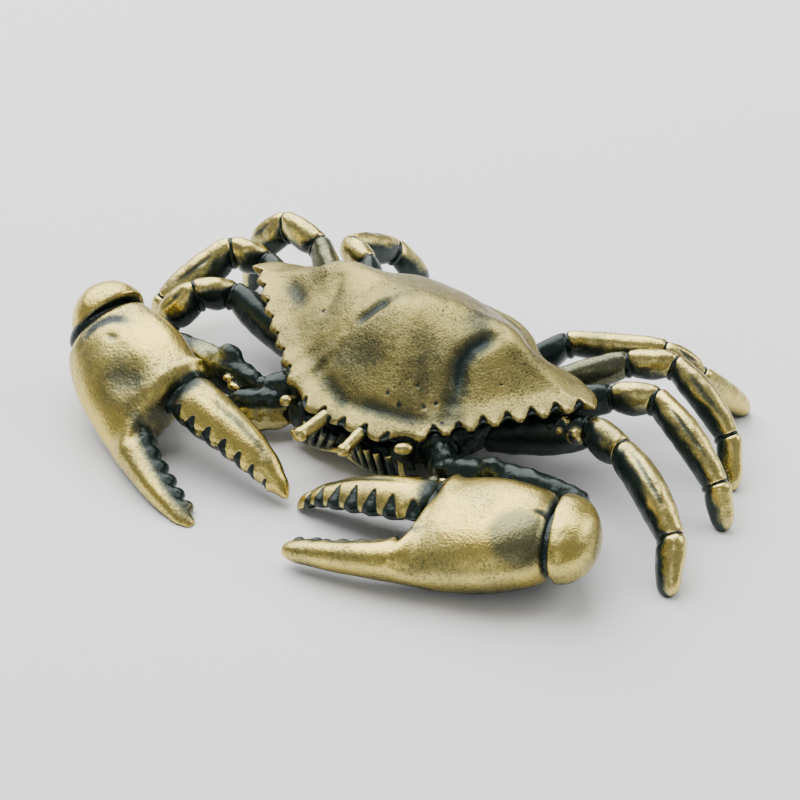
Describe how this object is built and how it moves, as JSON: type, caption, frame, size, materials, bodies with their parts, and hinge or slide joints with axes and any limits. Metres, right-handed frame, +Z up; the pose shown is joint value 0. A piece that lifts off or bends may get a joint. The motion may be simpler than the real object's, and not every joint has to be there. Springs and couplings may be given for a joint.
{
  "type": "crab figurine",
  "caption": "Standing crab figurine of cast brass with a domed toothed shell, broad open claws, jointed legs, stalked eyes and short feelers, polished over a dark patina.",
  "frame": {"origin": "middle of the bounding box, on the ground it stands on", "axes": "+Z up, +X towards the crab's own left along its longest extent, -Y the way the crab faces"},
  "size_m": [0.067, 0.0476, 0.0142],
  "materials": {
    "polished_brass": "satin polished, with dark patina in the grooves",
    "dark_brass": "dark patina, with rubbed edges"
  },
  "bodies": {
    "root": {"shell": "polished_brass", "body": "dark_brass", "tail_flap": "polished_brass", "left_eye": "polished_brass", "left_feeler": "polished_brass", "left_jaw": "dark_brass", "left_shoulder": "dark_brass", "left_upper_arm": "dark_brass", "left_wrist": "polished_brass", "left_palm": "polished_brass", "left_movable_finger": "polished_brass", "right_eye": "polished_brass", "right_feeler": "polished_brass", "right_jaw": "dark_brass", "right_shoulder": "dark_brass", "right_upper_arm": "dark_brass", "right_wrist": "polished_brass", "right_palm": "polished_brass", "right_movable_finger": "polished_brass", "left_leg_1_thigh": "polished_brass", "left_leg_1_knee": "polished_brass", "left_leg_1_shin": "polished_brass", "left_leg_1_toe": "polished_brass", "left_leg_2_thigh": "polished_brass", "left_leg_2_knee": "polished_brass", "left_leg_2_shin": "polished_brass", "left_leg_2_toe": "polished_brass", "left_leg_3_thigh": "polished_brass", "left_leg_3_knee": "polished_brass", "left_leg_3_shin": "polished_brass", "left_leg_3_toe": "polished_brass", "left_leg_4_thigh": "polished_brass", "left_leg_4_knee": "polished_brass", "left_leg_4_shin": "polished_brass", "left_leg_4_toe": "polished_brass", "right_leg_1_thigh": "polished_brass", "right_leg_1_knee": "polished_brass", "right_leg_1_shin": "polished_brass", "right_leg_1_toe": "polished_brass", "right_leg_2_thigh": "polished_brass", "right_leg_2_knee": "polished_brass", "right_leg_2_shin": "polished_brass", "right_leg_2_toe": "polished_brass", "right_leg_3_thigh": "polished_brass", "right_leg_3_knee": "polished_brass", "right_leg_3_shin": "polished_brass", "right_leg_3_toe": "polished_brass", "right_leg_4_thigh": "polished_brass", "right_leg_4_knee": "polished_brass", "right_leg_4_shin": "polished_brass", "right_leg_4_toe": "polished_brass"}
  },
  "joints": []
}
